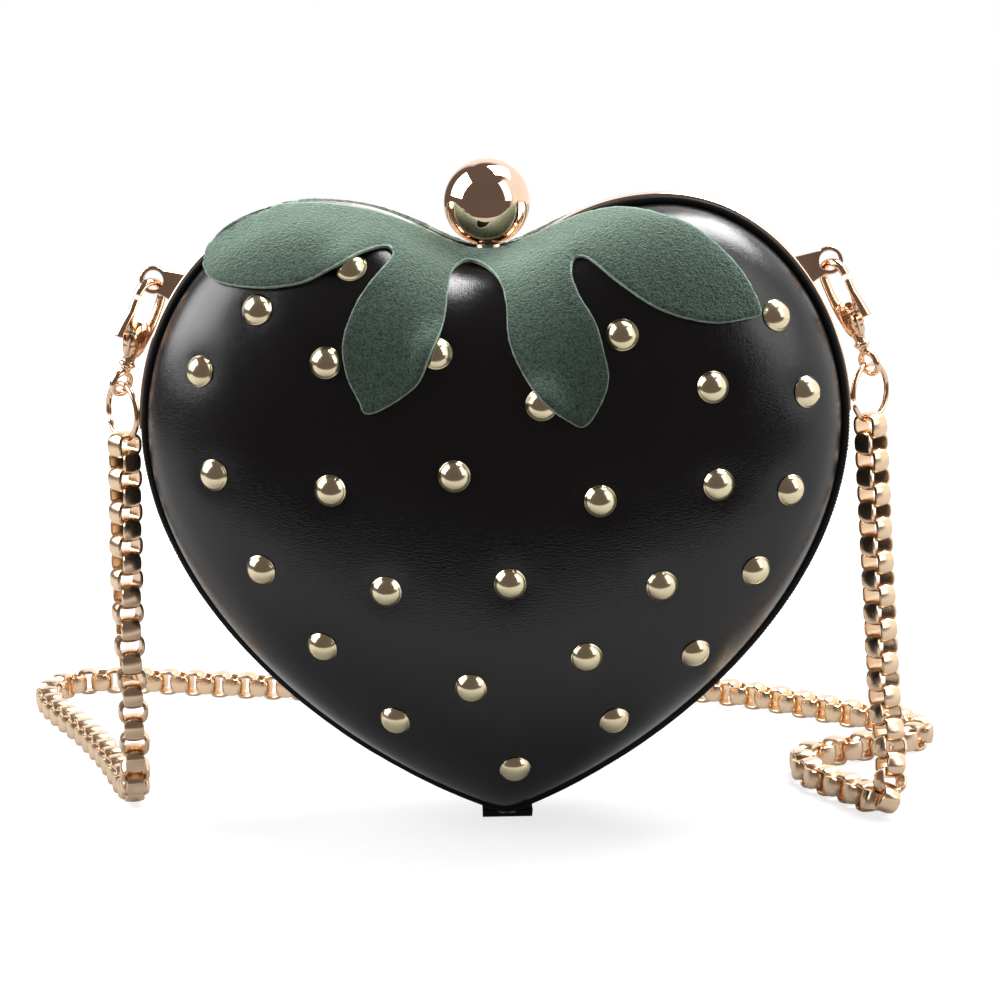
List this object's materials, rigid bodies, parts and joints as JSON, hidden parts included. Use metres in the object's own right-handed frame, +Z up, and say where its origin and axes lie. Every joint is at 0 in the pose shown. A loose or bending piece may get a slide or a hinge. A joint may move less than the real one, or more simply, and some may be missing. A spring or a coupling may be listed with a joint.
{
  "type": "heart shaped purse",
  "caption": "Heart shaped hinged box purse with padded domes, gold rim, press-down ball clasp, felt leaf trim, domed studs and a box chain strap on snap clasps.",
  "frame": {"origin": "centre of the closed purse's box without its chain strap, on the surface that the foot at the heart's tip stands on", "axes": "+X across the heart to the right as seen from the front, +Y from the front half to the back half, +Z up; the front faces -Y"},
  "size_m": [0.2688, 0.1902, 0.1724],
  "materials": {
    "shell": "matte moulded board",
    "leather": "smooth black leather, soft satin sheen",
    "leather_piping": "black leather cord",
    "lining": "plain woven lining",
    "rim_gold": "polished rose champagne plating",
    "edge_tape": "fine ribbed woven tape",
    "leaf_felt": "brushed felt with pale cut edges",
    "stud_gold": "polished pale gold",
    "fitting_gold": "polished rose gold",
    "ring_gold": "polished rose gold wire",
    "chain_gold": "polished rose gold",
    "ball_gold": "mirror polished rose gold",
    "steel": "plain nickel plated steel"
  },
  "bodies": {
    "back": {"back_shell": "shell", "back_cover": "leather", "back_lining": "lining", "back_piping": "leather_piping", "back_frame": "rim_gold", "back_edge_tape": "edge_tape", "back_leaves": "leaf_felt", "back_studs": "stud_gold", "left_lug": "fitting_gold", "right_lug": "fitting_gold", "hinge_leaf_back": "steel", "hinge_pin": "steel", "hinge_rivets_back": "steel", "clasp_bridge": "steel", "clasp_screws": "steel", "ball_spring": "steel", "left_end_link": "chain_gold", "right_end_link": "chain_gold", "chain_left": "chain_gold", "chain_coil": "chain_gold", "chain_right": "chain_gold"},
    "front": {"front_shell": "shell", "front_cover": "leather", "front_lining": "lining", "front_piping": "leather_piping", "front_frame": "rim_gold", "front_edge_tape": "edge_tape", "front_leaves": "leaf_felt", "front_studs": "stud_gold", "hinge_leaf_front": "steel", "hinge_rivets_front": "steel", "catch_strip": "steel", "catch_rivets": "steel"},
    "ball": {"ball": "ball_gold", "ball_stem": "steel", "stem_clip": "steel", "latch_bar": "steel", "latch_nut": "steel"},
    "right_clasp": {"right_clasp": "fitting_gold", "right_gate_pin": "steel"},
    "right_gate": {"right_gate": "fitting_gold"},
    "right_ring": {"right_ring": "ring_gold"},
    "left_clasp": {"left_clasp": "fitting_gold", "left_gate_pin": "steel"},
    "left_gate": {"left_gate": "fitting_gold"},
    "left_ring": {"left_ring": "ring_gold"}
  },
  "joints": [
    {"name": "front_hinge", "type": "hinge", "parent": "back", "child": "front", "pos_m": [0, 0, 0.0026], "axis": [1, 0, 0], "range_deg": [0, 40], "deforming": ["catch_strip"]},
    {"name": "ball_press", "type": "slide", "parent": "back", "child": "ball", "axis": [0, 0, -1], "range_m": [0, 0.0015], "stiffness_N_per_m": 600, "springref_m": -0.002, "deforming": ["ball_spring"]},
    {"name": "right_clasp_swing", "type": "hinge", "parent": "back", "child": "right_clasp", "pos_m": [0.0862, 0.0016, 0.14302], "axis": [0, -1, 0], "range_deg": [0, 4]},
    {"name": "right_ring_swing", "type": "hinge", "parent": "right_clasp", "child": "right_ring", "pos_m": [0.09623, 0.0016, 0.11688], "axis": [0, -1, 0], "range_deg": [-11.2, 0]},
    {"name": "right_gate_press", "type": "hinge", "parent": "right_clasp", "child": "right_gate", "pos_m": [0.09205, -0.00084, 0.13027], "axis": [-0.8773, -0.342, -0.3368], "range_deg": [0, 20], "stiffness_Nm_per_rad": 0.02, "springref_deg": -17.19},
    {"name": "left_clasp_swing", "type": "hinge", "parent": "back", "child": "left_clasp", "pos_m": [-0.0862, 0.0016, 0.14302], "axis": [0, 1, 0], "range_deg": [0, 4]},
    {"name": "left_ring_swing", "type": "hinge", "parent": "left_clasp", "child": "left_ring", "pos_m": [-0.09623, 0.0016, 0.11688], "axis": [0, 1, 0], "range_deg": [-11.2, 0]},
    {"name": "left_gate_press", "type": "hinge", "parent": "left_clasp", "child": "left_gate", "pos_m": [-0.09205, -0.00084, 0.13027], "axis": [-0.8773, 0.342, 0.3368], "range_deg": [0, 20], "stiffness_Nm_per_rad": 0.02, "springref_deg": -17.19}
  ],
  "couplings": [
    {"joint": "right_ring_swing", "follows": "right_clasp_swing", "ratio": -2.8},
    {"joint": "left_ring_swing", "follows": "left_clasp_swing", "ratio": -2.8}
  ]
}
